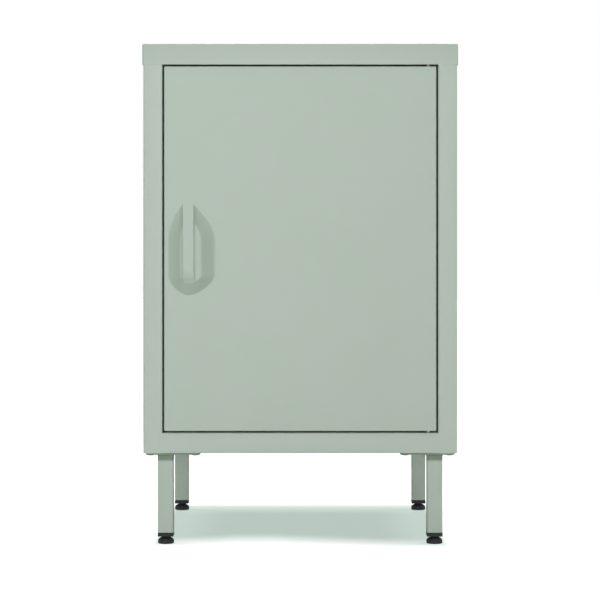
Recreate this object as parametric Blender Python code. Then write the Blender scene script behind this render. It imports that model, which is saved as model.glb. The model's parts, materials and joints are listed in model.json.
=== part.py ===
"""Sheet-steel storage locker on four square legs, with one inset door. Metres, +Z up, front faces -Y."""

import math

import bmesh
import bpy
from mathutils import Matrix, Vector

# Overall size, over the lid and down to the floor
WIDTH = 0.380
DEPTH = 0.380
HEIGHT = 0.604

# Sheet steel, and the gaps that fits leave
SHEET = 0.0010
FOLD_RADIUS = 0.0018
FOLD_STEPS = 3
SEAT_GAP = 0.0003
RUNNING_GAP = 0.0002
CUT_OVERRUN = 0.0020
JOINT_OVERLAP = 0.0040

# Lid
LID_HEIGHT = 0.0250
LID_EDGE_RADIUS = 0.0016
LID_CORNER_RADIUS = 0.0030
LID_STUD_RADIUS = 0.0025
LID_STUD_LENGTH = 0.0085
LID_STUD_INSET = 0.0110
LID_STUD_FROM_END = 0.0500

# Body panels
GROUND_CLEARANCE = 0.1114
STILE_WIDTH = 0.0230
RAIL_HEIGHT = 0.0250
POST_DEPTH = 0.0260
POST_END_GAP = 0.0020
REAR_FLANGE = 0.0180
SIDE_FLANGE = 0.0180
STOP_HEIGHT = 0.0080
REAR_UPSTAND = 0.0150

# Door and its hinge
DOOR_GAP = 0.0018
DOOR_DEPTH = 0.0200
DOOR_LIP = 0.0120
DOOR_CORNER_RADIUS = 0.0022
HINGE_INSET = 0.0098
HINGE_SETBACK = 0.0050
SWING_GAP = 0.0008
PIN_RADIUS = 0.0019
PIN_SHOULDER_RADIUS = 0.0024
PIN_HEAD_RADIUS = 0.0032
PIN_HEAD_HEIGHT = 0.0015
PIN_REACH = 0.0080
BUSH_WALL = 0.0009
BUSH_LENGTH = 0.0060
BUSH_FLANGE_HEIGHT = 0.0012
STIFFENER_WIDTH = 0.0500
STIFFENER_DEPTH = 0.0130
STIFFENER_FLANGE = 0.0120

# Handle: an almond recess with an upright strap, both about one line
HANDLE_FROM_EDGE = 0.0292
RECESS_FROM_BOTTOM = 0.1637
RECESS_LEFT = 0.0247
RECESS_RIGHT = 0.0311
RECESS_TOP_TAPER = 0.0487
RECESS_STRAIGHT = 0.0373
RECESS_BOTTOM_TAPER = 0.0293
RECESS_DEPTH = 0.0115
WALL_RUN = 0.0155
TOP_RUN = 0.0200
BOTTOM_RUN = 0.0165
TOE_BLUNTNESS = 1.4
TAPER_STEPS = 7
CUP_FLANGE = 0.0030
STRAP_WIDTH = 0.0131
STRAP_BEND_RADIUS = 0.0220
STRAP_SLOPE = math.radians(45)
STRAP_FOOT_RISE = 0.0041

# Shelf
SHELF_HEIGHT = 0.2300
SHELF_SIDE_GAP = 0.0008
SHELF_END_GAP = 0.0030
SHELF_EDGE_DROP = 0.0180
SHELF_EDGE_RETURN = 0.0080
SHELF_SUPPORT_LEG = 0.0180
SHELF_SUPPORT_GAP = 0.0120

# Magnetic catch and door bumpers
CATCH_FROM_TOP = 0.0750
CATCH_LENGTH = 0.0400
CATCH_BASE_WIDTH = 0.0180
CATCH_DEPTH = 0.0090
CATCH_NOSE_WIDTH = 0.0120
CATCH_WALL = 0.0015
CATCH_PEG_RADIUS = 0.0020
CATCH_PEG_SPACING = 0.0240
MAGNET_DEPTH = 0.0050
BUMPER_RADIUS = 0.0028
BUMPER_FROM_EDGE = 0.0240

# Legs, with the corner plate measured from the body's corner
PLATE_MARGIN = 0.0024
PLATE_SIDE = 0.0660
PLATE_TIP = 0.0130
PLATE_THICKNESS = 0.0016
LEG_SIDE = 0.0190
LEG_WALL = 0.0012
LEG_INSET = 0.0162
BOLT_FROM_EDGE = 0.0063
BOLT_RADIUS = 0.0025
BOLT_GAP = 0.0003
BOLT_HEAD_RADIUS = 0.0045
BOLT_HEAD_HEIGHT = 0.0010
BOLT_LENGTH = 0.0090
NUT_RADIUS = 0.0046
NUT_HEIGHT = 0.0040
NUT_SINK = 0.0002

# Feet
PAD_RADIUS = 0.00975
PAD_EDGE = 0.0048
PAD_HEIGHT = 0.0080
PAD_FLOOR = 0.0015
FOOT_NECK = 0.0011
PLUG_HEIGHT = 0.0046
PLUG_INSERT = 0.0160
STUD_RADIUS = 0.0040
STUD_GAP = 0.0003
STUD_ENGAGEMENT = 0.0060
FOOT_TRAVEL = 0.0100

# Screws in the back panel
SCREW_RADIUS = 0.0018
SCREW_HEAD_RADIUS = 0.0040
SCREW_HEAD_HEIGHT = 0.0009
SCREW_LENGTH = 0.0070
SCREW_FROM_END = 0.0600

ROUND_SIDES = 16
SMALL_SIDES = 12
NUT_SIDES = 6
CORNER_STEPS = 3
SMOOTH_ANGLE = math.radians(40)

# Places that follow from the sizes
BODY_X = WIDTH / 2 - SHEET - SEAT_GAP
BODY_Y = DEPTH / 2 - SHEET - SEAT_GAP
FRONT = -BODY_Y
UNDERSIDE = GROUND_CLEARANCE
FLOOR_TOP = UNDERSIDE + SHEET
LID_BOTTOM = HEIGHT - LID_HEIGHT
BODY_TOP = HEIGHT - SHEET - SEAT_GAP
RAIL_TOP = UNDERSIDE + RAIL_HEIGHT
OPENING_X = BODY_X - STILE_WIDTH
POST_BACK = FRONT + POST_DEPTH
REAR_FLANGE_Y = BODY_Y - SHEET - SEAT_GAP
INNER_X = BODY_X - SHEET
DOOR_X = OPENING_X - DOOR_GAP
DOOR_BOTTOM = RAIL_TOP + DOOR_GAP
DOOR_TOP = LID_BOTTOM - DOOR_GAP
DOOR_BACK = FRONT + DOOR_DEPTH
HINGE_X = DOOR_X - HINGE_INSET
HINGE_Y = FRONT + HINGE_SETBACK
SWEEP = math.hypot(HINGE_INSET, DOOR_DEPTH - HINGE_SETBACK)
STOP_Y = HINGE_Y + SWEEP + SWING_GAP
PIN_HOLE_RADIUS = PIN_RADIUS + SEAT_GAP
BUSH_BORE = PIN_RADIUS + RUNNING_GAP
BUSH_RADIUS = BUSH_BORE + BUSH_WALL
BUSH_FLANGE_RADIUS = HINGE_SETBACK - SHEET - SEAT_GAP
HANDLE_X = HANDLE_FROM_EDGE - DOOR_X
RECESS_BOTTOM = DOOR_BOTTOM + RECESS_FROM_BOTTOM
STRAP_REACH = RECESS_DEPTH - SEAT_GAP - SHEET * math.cos(STRAP_SLOPE)
STRAP_FOOT = RECESS_BOTTOM + BOTTOM_RUN + STRAP_FOOT_RISE
STRAP_CORNER = STRAP_FOOT + STRAP_REACH / math.tan(STRAP_SLOPE)
STRAP_BEND_TOP = STRAP_CORNER + STRAP_BEND_RADIUS * math.tan(STRAP_SLOPE / 2)
SHELF_TOP = UNDERSIDE + SHELF_HEIGHT
SHELF_FRONT = POST_BACK + SHELF_END_GAP
SHELF_REAR = REAR_FLANGE_Y - SHEET - SHELF_END_GAP
TUBE_BOTTOM = PAD_HEIGHT + FOOT_NECK + PLUG_HEIGHT + SEAT_GAP
PLATE_TOP = UNDERSIDE - SEAT_GAP
PLATE_BOTTOM = PLATE_TOP - PLATE_THICKNESS
BOLT_HOLE_RADIUS = BOLT_RADIUS + BOLT_GAP
BOLT_NEAR = PLATE_MARGIN + BOLT_FROM_EDGE
BOLT_FAR = PLATE_MARGIN + PLATE_SIDE - BOLT_FROM_EDGE
LEG_CENTRE = LEG_INSET + LEG_SIDE / 2
SIDE_FLANGE_BOTTOM = FLOOR_TOP + SEAT_GAP
BOLT_SPOTS = {
    "corner": (BOLT_NEAR, BOLT_NEAR),
    "first": (BOLT_FAR, BOLT_NEAR),
    "second": (BOLT_NEAR, BOLT_FAR),
}
# Which way each corner lies from the middle, and its quarter turns from the front left
CORNERS = {
    "front_left": (-1, -1, 0),
    "front_right": (1, -1, 1),
    "rear_right": (1, 1, 2),
    "rear_left": (-1, 1, 3),
}


def material(name, colour, roughness, metallic=0.0):
    """A plain surface of one colour."""
    made = bpy.data.materials.new(name)
    made.use_nodes = True
    shader = made.node_tree.nodes["Principled BSDF"]
    shader.inputs["Base Color"].default_value = (*colour, 1.0)
    shader.inputs["Roughness"].default_value = roughness
    shader.inputs["Metallic"].default_value = metallic
    made.diffuse_color = (*colour, 1.0)
    return made


def loft(rings, closed=False):
    """A mesh through rings with equal numbers of points, capped at both ends or joined end to end."""
    bm = bmesh.new()
    loops = [[bm.verts.new(point) for point in ring] for ring in rings]
    pairs = list(zip(loops, loops[1:]))
    if closed:
        pairs.append((loops[-1], loops[0]))
    for low, high in pairs:
        for i, corner in enumerate(low):
            j = (i + 1) % len(low)
            bm.faces.new((corner, low[j], high[j], high[i]))
    if not closed:
        bm.faces.new(loops[0][::-1])
        bm.faces.new(loops[-1])
    bmesh.ops.recalc_face_normals(bm, faces=bm.faces)
    return finished(bm)


def finished(bm):
    mesh = bpy.data.meshes.new("shape")
    bm.to_mesh(mesh)
    bm.free()
    return mesh


def block(low, high):
    """A box from its lowest corner to its highest."""
    (x0, y0, z0), (x1, y1, z1) = low, high
    return loft([[(x0, y0, z), (x1, y0, z), (x1, y1, z), (x0, y1, z)] for z in (z0, z1)])


def circle(radius, z, sides, centre=(0, 0)):
    turns = [2 * math.pi * i / sides for i in range(sides)]
    return [(centre[0] + radius * math.cos(a), centre[1] + radius * math.sin(a), z) for a in turns]


def turned(profile, sides=ROUND_SIDES, closed=False):
    """A round piece about Z, through (radius, z) pairs."""
    return loft([circle(radius, z, sides) for radius, z in profile], closed)


def rounded_rectangle(half_u, half_v, radius):
    """Points around a rectangle with arcs for corners."""
    points = []
    for quarter, (su, sv) in enumerate(((1, 1), (-1, 1), (-1, -1), (1, -1))):
        for step in range(CORNER_STEPS + 1):
            angle = math.pi / 2 * (quarter + step / CORNER_STEPS)
            u = su * (half_u - radius) + radius * math.cos(angle)
            v = sv * (half_v - radius) + radius * math.sin(angle)
            points.append((u, v))
    return points


def folded(path, radius=FOLD_RADIUS, steps=FOLD_STEPS):
    """Outline of folded sheet. The path is one face of it, and the sheet lies on the path's left."""
    path = [Vector(point) for point in path]
    ways = [(b - a).normalized() for a, b in zip(path, path[1:])]
    lefts = [Vector((-way.y, way.x)) for way in ways]
    face = [path[0]]
    back = [path[0] + lefts[0] * SHEET]
    for corner, way, left, onward in zip(path[1:], ways, lefts, ways[1:]):
        turn = math.atan2(way.x * onward.y - way.y * onward.x, way.dot(onward))
        side = math.copysign(1, turn)
        near = radius if side > 0 else radius - SHEET
        far = near - side * SHEET
        centre = corner - way * near * math.tan(abs(turn) / 2) + left * side * near
        for step in range(steps + 1):
            outward = Matrix.Rotation(turn * step / steps, 2) @ (-side * left)
            face.append(centre + outward * near)
            back.append(centre + outward * far)
    face.append(path[-1])
    back.append(path[-1] + lefts[-1] * SHEET)
    return face + back[::-1]


def along_x(outline, start, end):
    """Sweeps a (y, z) outline along X."""
    return loft([[(x, y, z) for y, z in outline] for x in (start, end)])


def along_y(outline, start, end):
    """Sweeps an (x, z) outline along Y."""
    return loft([[(x, y, z) for x, z in outline] for y in (start, end)])


def boolean(mesh, others, operation):
    """The mesh joined with, or cut by, each of the others."""
    target = bpy.data.objects.new("target", mesh)
    bpy.context.scene.collection.objects.link(target)
    tools = []
    for other in others:
        tool = bpy.data.objects.new("tool", other)
        bpy.context.scene.collection.objects.link(tool)
        change = target.modifiers.new(operation, "BOOLEAN")
        change.operation = operation
        change.object = tool
        tools.append(tool)
    graph = bpy.context.evaluated_depsgraph_get()
    result = bpy.data.meshes.new_from_object(target.evaluated_get(graph))
    for used in [target, *tools]:
        bpy.data.objects.remove(used)
    return result


def joined(mesh, *others):
    return boolean(mesh, others, "UNION")


def cut(mesh, *others):
    return boolean(mesh, others, "DIFFERENCE")


def moved(mesh, matrix):
    """A copy of the mesh, moved."""
    copy = mesh.copy()
    copy.transform(matrix)
    return copy


def shifted(mesh, x=0.0, y=0.0, z=0.0):
    return moved(mesh, Matrix.Translation((x, y, z)))


def drill(x, y, radius, low, high, sides=SMALL_SIDES):
    """A cutter for an upright hole that runs past both faces."""
    return loft([circle(radius, z, sides, (x, y)) for z in (low - CUT_OVERRUN, high + CUT_OVERRUN)])


def drill_back(x, z, radius, low, high):
    """A cutter for a hole that runs along Y."""
    upright = drill(0, 0, radius, low, high)
    return moved(upright, Matrix.Translation((x, 0, z)) @ Matrix.Rotation(-math.pi / 2, 4, "X"))


def add(name, mesh, finish, parent=None):
    """A named piece, whose mesh is where it stands."""
    mesh.name = name
    mesh.materials.clear()
    mesh.materials.append(finish)
    mesh.shade_smooth()
    mesh.set_sharp_from_angle(angle=SMOOTH_ANGLE)
    piece = bpy.data.objects.new(name, mesh)
    bpy.context.scene.collection.objects.link(piece)
    if parent:
        piece.parent = parent
        piece.matrix_parent_inverse = Matrix.Translation(parent.location).inverted()
    return piece


def place(name, mesh, finish, location, turn=0.0, parent=None):
    """A copy of a shared mesh at its place."""
    piece = add(name, mesh, finish, parent)
    piece.location = location
    piece.rotation_euler = (0, 0, turn)
    return piece


def joint(name, location):
    """An empty on a joint's axis, which carries the pieces that move."""
    empty = bpy.data.objects.new(name, None)
    empty.location = location
    bpy.context.scene.collection.objects.link(empty)
    return empty


def corner_place(corner, along, across):
    """A place measured from a corner of the body, along one edge of it and across."""
    side_x, side_y, quarter = CORNERS[corner]
    offset = Matrix.Rotation(quarter * math.pi / 2, 2) @ Vector((along, across))
    return side_x * BODY_X + offset.x, side_y * BODY_Y + offset.y


def bolt_places(corner):
    """Where the three bolts of one leg go."""
    return {name: corner_place(corner, *spot) for name, spot in BOLT_SPOTS.items()}


def all_bolt_places():
    return [spot for corner in CORNERS for spot in bolt_places(corner).values()]


def on_side_flange(x, y):
    """Whether a bolt goes up through a side panel's bottom flange, and not through the floor alone."""
    return abs(x) > BODY_X - SIDE_FLANGE and y > POST_BACK


def nut(z, sides=NUT_SIDES):
    return loft([circle(NUT_RADIUS, level, sides) for level in (z - NUT_SINK, z + NUT_HEIGHT)])


def lid_stud_places():
    far = BODY_Y - LID_STUD_FROM_END
    return [(side * (BODY_X - LID_STUD_INSET), end * far) for end in (-1, 1) for side in (-1, 1)]


def top_lid():
    """The lid: a tray over the body, with a header above the door and studs that the nuts pull down."""
    rings = []
    quarter_turns = [math.pi / 2 * step / CORNER_STEPS for step in range(CORNER_STEPS + 1)]

    def ring(inset, z, radius):
        outline = rounded_rectangle(WIDTH / 2 - inset, DEPTH / 2 - inset, radius)
        return [(x, y, z) for x, y in outline]

    for angle in quarter_turns:
        inset = LID_EDGE_RADIUS * (1 - math.sin(angle))
        drop = LID_EDGE_RADIUS * (1 - math.cos(angle))
        rings.append(ring(inset, HEIGHT - drop, LID_CORNER_RADIUS - inset))
    rings.append(ring(0, LID_BOTTOM, LID_CORNER_RADIUS))
    rings.append(ring(SHEET, LID_BOTTOM, LID_CORNER_RADIUS - SHEET))
    inner_radius = LID_EDGE_RADIUS - SHEET
    for angle in reversed(quarter_turns):
        inset = inner_radius * (1 - math.sin(angle))
        drop = inner_radius * (1 - math.cos(angle))
        rings.append(ring(SHEET + inset, HEIGHT - SHEET - drop, LID_CORNER_RADIUS - SHEET - inset))
    tray = loft(rings)
    header_path = [
        (SHEET / 2 - DEPTH / 2, LID_BOTTOM),
        (STOP_Y, LID_BOTTOM),
        (STOP_Y, LID_BOTTOM - STOP_HEIGHT),
    ]
    header = along_x(folded(header_path), SEAT_GAP - OPENING_X, OPENING_X - SEAT_GAP)
    under = HEIGHT - SHEET
    ends = (under - LID_STUD_LENGTH, under + SHEET / 2)
    studs = [
        loft([circle(LID_STUD_RADIUS, z, SMALL_SIDES, spot) for z in ends])
        for spot in lid_stud_places()
    ]
    pin_hole = drill(HINGE_X, HINGE_Y, PIN_HOLE_RADIUS, LID_BOTTOM, LID_BOTTOM + SHEET, ROUND_SIDES)
    return cut(joined(tray, header, *studs), pin_hole)


def side_shell(side):
    """The fold of a side panel: post, stile, wall and rear flange. Stile and wall reach lowest."""
    path = [
        (INNER_X - POST_END_GAP, POST_BACK),
        (OPENING_X, POST_BACK),
        (OPENING_X, FRONT),
        (BODY_X, FRONT),
        (BODY_X, REAR_FLANGE_Y),
        (BODY_X - REAR_FLANGE, REAR_FLANGE_Y),
    ]
    outline = folded(path)
    count = len(outline)
    # The stile starts where the second fold ends, and the wall ends where the fourth one starts
    stile_start = 2 * (FOLD_STEPS + 1)
    wall_end = 3 * (FOLD_STEPS + 1) + 1
    bm = bmesh.new()
    low = [bm.verts.new((side * x, y, SIDE_FLANGE_BOTTOM)) for x, y in outline]
    high = [bm.verts.new((side * x, y, BODY_TOP)) for x, y in outline]
    for i in range(count):
        j = (i + 1) % count
        bm.faces.new((low[i], low[j], high[j], high[i]))
    bm.faces.new(high)

    def underface(first, last):
        face = [low[i] for i in range(first, last + 1)]
        back = [low[count - 1 - i] for i in range(last, first - 1, -1)]
        return bm.faces.new(face + back)

    underface(0, stile_start)
    visible = underface(stile_start, wall_end)
    underface(wall_end, count // 2 - 1)
    lowered = bmesh.ops.extrude_discrete_faces(bm, faces=[visible])["faces"][0]
    bmesh.ops.translate(bm, verts=lowered.verts, vec=(0, 0, UNDERSIDE - SIDE_FLANGE_BOTTOM))
    bmesh.ops.recalc_face_normals(bm, faces=bm.faces)
    return finished(bm)


def side_flange(side, bottom, end_gap):
    """A flange along the wall, which holds the floor or the lid."""
    edges = sorted((side * (BODY_X - SIDE_FLANGE), side * (BODY_X - SHEET / 2)))
    low = (edges[0], POST_BACK + end_gap, bottom)
    high = (edges[1], REAR_FLANGE_Y - SHEET - end_gap, bottom + SHEET)
    return block(low, high)


def side_panel(side):
    shell = side_shell(side)
    floor_flange = side_flange(side, SIDE_FLANGE_BOTTOM, POST_END_GAP)
    lid_flange = side_flange(side, BODY_TOP - SHEET, POST_END_GAP)
    spots = [(x, y) for x, y in all_bolt_places() if on_side_flange(x, y) and x * side > 0]
    nuts = [shifted(nut(SIDE_FLANGE_BOTTOM + SHEET), x, y) for x, y in spots]
    nut_top = SIDE_FLANGE_BOTTOM + SHEET + NUT_HEIGHT
    holes = [drill(x, y, BOLT_HOLE_RADIUS, SIDE_FLANGE_BOTTOM, nut_top) for x, y in spots]
    holes += [
        drill(x, y, LID_STUD_RADIUS + BOLT_GAP, BODY_TOP - SHEET, BODY_TOP)
        for x, y in lid_stud_places()
        if x * side > 0
    ]
    holes += [
        drill_back(x, z, SCREW_RADIUS + BOLT_GAP, REAR_FLANGE_Y - SHEET, REAR_FLANGE_Y)
        for x, z in side_screw_places().values()
        if x * side > 0
    ]
    if side < 0:
        holes += [
            drill_back(x, z, CATCH_PEG_RADIUS + BOLT_GAP, POST_BACK - SHEET, POST_BACK)
            for x, z in catch_peg_places()
        ]
    return cut(joined(shell, floor_flange, lid_flange, *nuts), *holes)


def bottom_panel():
    """The floor with its front rail and door stop folded from it, and weld nuts for the legs."""
    stop_top = RAIL_TOP + STOP_HEIGHT
    path = [
        (STOP_Y, stop_top),
        (STOP_Y, RAIL_TOP),
        (FRONT, RAIL_TOP),
        (FRONT, UNDERSIDE),
        (REAR_FLANGE_Y, UNDERSIDE),
        (REAR_FLANGE_Y, UNDERSIDE + REAR_UPSTAND),
    ]
    middle_x = OPENING_X - SEAT_GAP
    middle = along_x(folded(path), -middle_x, middle_x)
    wings = []
    for side in (-1, 1):
        edges = sorted((side * (middle_x - JOINT_OVERLAP), side * (INNER_X - SEAT_GAP)))
        low = (edges[0], FRONT + SHEET + SEAT_GAP, UNDERSIDE)
        high = (edges[1], REAR_FLANGE_Y - SHEET - FOLD_RADIUS, FLOOR_TOP)
        wings.append(block(low, high))
    nuts = [shifted(nut(FLOOR_TOP), x, y) for x, y in all_bolt_places() if not on_side_flange(x, y)]
    nut_top = FLOOR_TOP + NUT_HEIGHT
    holes = [drill(x, y, BOLT_HOLE_RADIUS, UNDERSIDE, nut_top) for x, y in all_bolt_places()]
    holes.append(drill(HINGE_X, HINGE_Y, PIN_HOLE_RADIUS, RAIL_TOP - SHEET, RAIL_TOP, ROUND_SIDES))
    holes += [
        drill_back(x, z, SCREW_RADIUS + BOLT_GAP, REAR_FLANGE_Y - SHEET, REAR_FLANGE_Y)
        for x, z in floor_screw_places().values()
    ]
    return cut(joined(middle, *wings, *nuts), *holes)


def side_screw_places():
    """Screws of the back panel into the side panels' rear flanges."""
    x = BODY_X - REAR_FLANGE / 2
    levels = {"lower": UNDERSIDE + SCREW_FROM_END, "upper": BODY_TOP - SCREW_FROM_END}
    sides = {"left": -x, "right": x}
    return {f"{level}_{side}": (sides[side], levels[level]) for level in levels for side in sides}


def floor_screw_places():
    """Screws of the back panel into the floor's rear upstand."""
    z = UNDERSIDE + REAR_UPSTAND / 2
    x = BODY_X - 2 * SCREW_FROM_END
    return {"floor_left": (-x, z), "floor_right": (x, z)}


def back_screw_places():
    return side_screw_places() | floor_screw_places()


def back_panel():
    half = BODY_X - FOLD_RADIUS
    sheet = block((-half, BODY_Y - SHEET, UNDERSIDE), (half, BODY_Y, BODY_TOP))
    holes = [
        drill_back(x, z, SCREW_RADIUS + BOLT_GAP, BODY_Y - SHEET, BODY_Y)
        for x, z in back_screw_places().values()
    ]
    return cut(sheet, *holes)


def recess_outline(inset_share, strap_half=0.0):
    """The almond of the recess as (x, z), from the top round its left side.

    It is drawn in by a share of the run of its walls. With a strap, it dips down both of the
    strap's edges to its bend.
    """
    left = RECESS_LEFT - inset_share * WALL_RUN
    right = RECESS_RIGHT - inset_share * WALL_RUN
    low = RECESS_BOTTOM + RECESS_BOTTOM_TAPER
    high = low + RECESS_STRAIGHT
    top_taper = RECESS_TOP_TAPER - inset_share * TOP_RUN
    bottom_taper = RECESS_BOTTOM_TAPER - inset_share * BOTTOM_RUN

    def upper(half):
        end = math.acos(strap_half / half) * 2 / math.pi
        shares = [end * step / TAPER_STEPS for step in range(TAPER_STEPS + 1)]
        return [(half * math.cos(math.pi / 2 * t), high + top_taper * t) for t in shares]

    def lower(half):
        shares = [step / TAPER_STEPS for step in range(TAPER_STEPS + 1)]
        return [(half * math.cos(math.pi / 2 * t**TOE_BLUNTNESS), low - bottom_taper * t) for t in shares]

    down = [(HANDLE_X - x, z) for x, z in upper(left)[::-1] + lower(left)]
    up = [(HANDLE_X + x, z) for x, z in lower(right)[-2::-1] + upper(right)]
    if strap_half:
        ends = [(HANDLE_X + side * strap_half, STRAP_BEND_TOP) for side in (1, -1)]
        return down + up + ends
    return down + up[:-1]


def door_skin():
    """The door: a pan with a lip round its open back, and the strap bent in to the floor of the recess."""
    middle_z = (DOOR_TOP + DOOR_BOTTOM) / 2
    half_z = (DOOR_TOP - DOOR_BOTTOM) / 2

    def ring(inset, y, radius):
        outline = rounded_rectangle(DOOR_X - inset, half_z - inset, radius)
        return [(x, y, middle_z + z) for x, z in outline]

    rings = []
    for step in range(CORNER_STEPS + 1):
        angle = math.pi / 2 * step / CORNER_STEPS
        inset = FOLD_RADIUS * (1 - math.sin(angle))
        depth = FOLD_RADIUS * (1 - math.cos(angle))
        rings.append(ring(inset, FRONT + depth, DOOR_CORNER_RADIUS - inset))
    inner_radius = DOOR_CORNER_RADIUS - SHEET
    rings += [
        ring(0, DOOR_BACK, DOOR_CORNER_RADIUS),
        ring(DOOR_LIP, DOOR_BACK, DOOR_CORNER_RADIUS),
        ring(DOOR_LIP, DOOR_BACK - SHEET, DOOR_CORNER_RADIUS),
        ring(SHEET, DOOR_BACK - SHEET, inner_radius),
        ring(SHEET, FRONT + SHEET, inner_radius),
    ]
    pan = loft(rings)
    cutout = along_y(recess_outline(0, STRAP_WIDTH / 2), FRONT - CUT_OVERRUN, FRONT + SHEET + CUT_OVERRUN)
    path = [
        (FRONT, STRAP_BEND_TOP + JOINT_OVERLAP),
        (FRONT, STRAP_CORNER),
        (FRONT + STRAP_REACH, STRAP_FOOT),
    ]
    strap = along_x(
        folded(path, STRAP_BEND_RADIUS, 2 * FOLD_STEPS),
        HANDLE_X - STRAP_WIDTH / 2,
        HANDLE_X + STRAP_WIDTH / 2,
    )
    holes = [
        drill(HINGE_X, HINGE_Y, BUSH_RADIUS + SEAT_GAP, low, low + SHEET, ROUND_SIDES)
        for low in (DOOR_BOTTOM, DOOR_TOP - SHEET)
    ]
    return joined(cut(pan, cutout, *holes), strap)


def handle_cup():
    """The pressed cup behind the strap. Its flange lies on the back of the skin."""
    behind = SHEET + SEAT_GAP
    flange_share = -CUP_FLANGE / WALL_RUN
    slope = math.atan2(RECESS_DEPTH - behind, WALL_RUN)
    # The back of each bend lies this much further out than its face
    spread_share = SHEET * math.tan(slope / 2) / WALL_RUN
    rings = [
        (1, RECESS_DEPTH),
        (0, behind),
        (flange_share, behind),
        (flange_share, behind + SHEET),
        (-spread_share, behind + SHEET),
        (1 - spread_share, RECESS_DEPTH + SHEET),
    ]
    return loft([[(x, FRONT + depth, z) for x, z in recess_outline(share)] for share, depth in rings])


def door_stiffener():
    """A hat channel down the inside of the door, with its flanges on the back of the skin."""
    skin = FRONT + SHEET + SEAT_GAP
    crown = skin + STIFFENER_DEPTH
    outer = STIFFENER_WIDTH / 2
    inner = outer - STIFFENER_FLANGE
    path = [(-outer, skin), (-inner, skin), (-inner, crown), (inner, crown), (inner, skin), (outer, skin)]
    outline = folded([(x, -y) for x, y in path[::-1]])
    gap = SHEET + SEAT_GAP
    return loft([[(x, -y, z) for x, y in outline] for z in (DOOR_BOTTOM + gap, DOOR_TOP - gap)])


def hinge_bush(wall, inward):
    """A flanged sleeve in the door's top or bottom wall, from its outer face inwards."""
    seat = wall + inward * (SHEET + SEAT_GAP)
    flange_end = seat + inward * BUSH_FLANGE_HEIGHT
    end = wall + inward * BUSH_LENGTH
    profile = [
        (BUSH_BORE, wall),
        (BUSH_RADIUS, wall),
        (BUSH_RADIUS, seat),
        (BUSH_FLANGE_RADIUS, seat),
        (BUSH_FLANGE_RADIUS, flange_end),
        (BUSH_RADIUS, flange_end),
        (BUSH_RADIUS, end),
        (BUSH_BORE, end),
    ]
    return turned(profile, closed=True)


def hinge_pin_top():
    """Dropped in through the header, which its head rests on. Its end turns in the upper bush."""
    seat = LID_BOTTOM + SHEET + SEAT_GAP
    return turned(
        [
            (PIN_RADIUS, DOOR_TOP - PIN_REACH),
            (PIN_RADIUS, seat),
            (PIN_HEAD_RADIUS, seat),
            (PIN_HEAD_RADIUS, seat + PIN_HEAD_HEIGHT),
        ]
    )


def hinge_pin_bottom():
    """Riveted into the rail: its shoulder carries the door, and its end turns in the door's lower bush."""
    seat = RAIL_TOP - SHEET - SEAT_GAP
    shoulder = RAIL_TOP + SEAT_GAP
    return turned(
        [
            (PIN_HEAD_RADIUS, seat - PIN_HEAD_HEIGHT),
            (PIN_HEAD_RADIUS, seat),
            (PIN_RADIUS, seat),
            (PIN_RADIUS, shoulder),
            (PIN_SHOULDER_RADIUS, shoulder),
            (PIN_SHOULDER_RADIUS, DOOR_BOTTOM - SEAT_GAP),
            (PIN_RADIUS, DOOR_BOTTOM - SEAT_GAP),
            (PIN_RADIUS, DOOR_BOTTOM + PIN_REACH),
        ]
    )


def shelf():
    """A tray upside down: its top with the front and rear edges folded down and in."""
    low = SHELF_TOP - SHELF_EDGE_DROP
    path = [
        (SHELF_REAR - SHELF_EDGE_RETURN, low),
        (SHELF_REAR, low),
        (SHELF_REAR, SHELF_TOP),
        (SHELF_FRONT, SHELF_TOP),
        (SHELF_FRONT, low),
        (SHELF_FRONT + SHELF_EDGE_RETURN, low),
    ]
    half = INNER_X - SHELF_SIDE_GAP
    return along_x(folded(path), -half, half)


def shelf_support(side):
    """An angle welded to the wall, under the shelf and between its folded edges."""
    wall = INNER_X - SEAT_GAP
    top = SHELF_TOP - SHEET - SEAT_GAP
    path = [(wall, top - SHELF_SUPPORT_LEG), (wall, top), (wall - SHELF_SUPPORT_LEG, top)]
    outline = [(side * x, z) for x, z in folded(path)]
    return along_y(outline, SHELF_FRONT + SHELF_SUPPORT_GAP, SHELF_REAR - SHELF_SUPPORT_GAP)


def catch_centre():
    return DOOR_TOP - CATCH_FROM_TOP


def catch_peg_places():
    x = -(OPENING_X + CATCH_BASE_WIDTH / 2)
    return [(x, catch_centre() + end * CATCH_PEG_SPACING / 2) for end in (-1, 1)]


def magnet_box(gap=0.0):
    """The magnet's corners, or those of the pocket that holds it with a gap."""
    left = CATCH_WALL - DOOR_X
    right = CATCH_NOSE_WIDTH - CATCH_WALL - DOOR_X
    face = DOOR_BACK + SEAT_GAP
    centre = catch_centre()
    half = CATCH_LENGTH / 2 - 2 * CATCH_WALL
    low = (left - gap, face - 2 * gap, centre - half - gap)
    high = (right + gap, face + MAGNET_DEPTH + gap, centre + half + gap)
    return low, high


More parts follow.
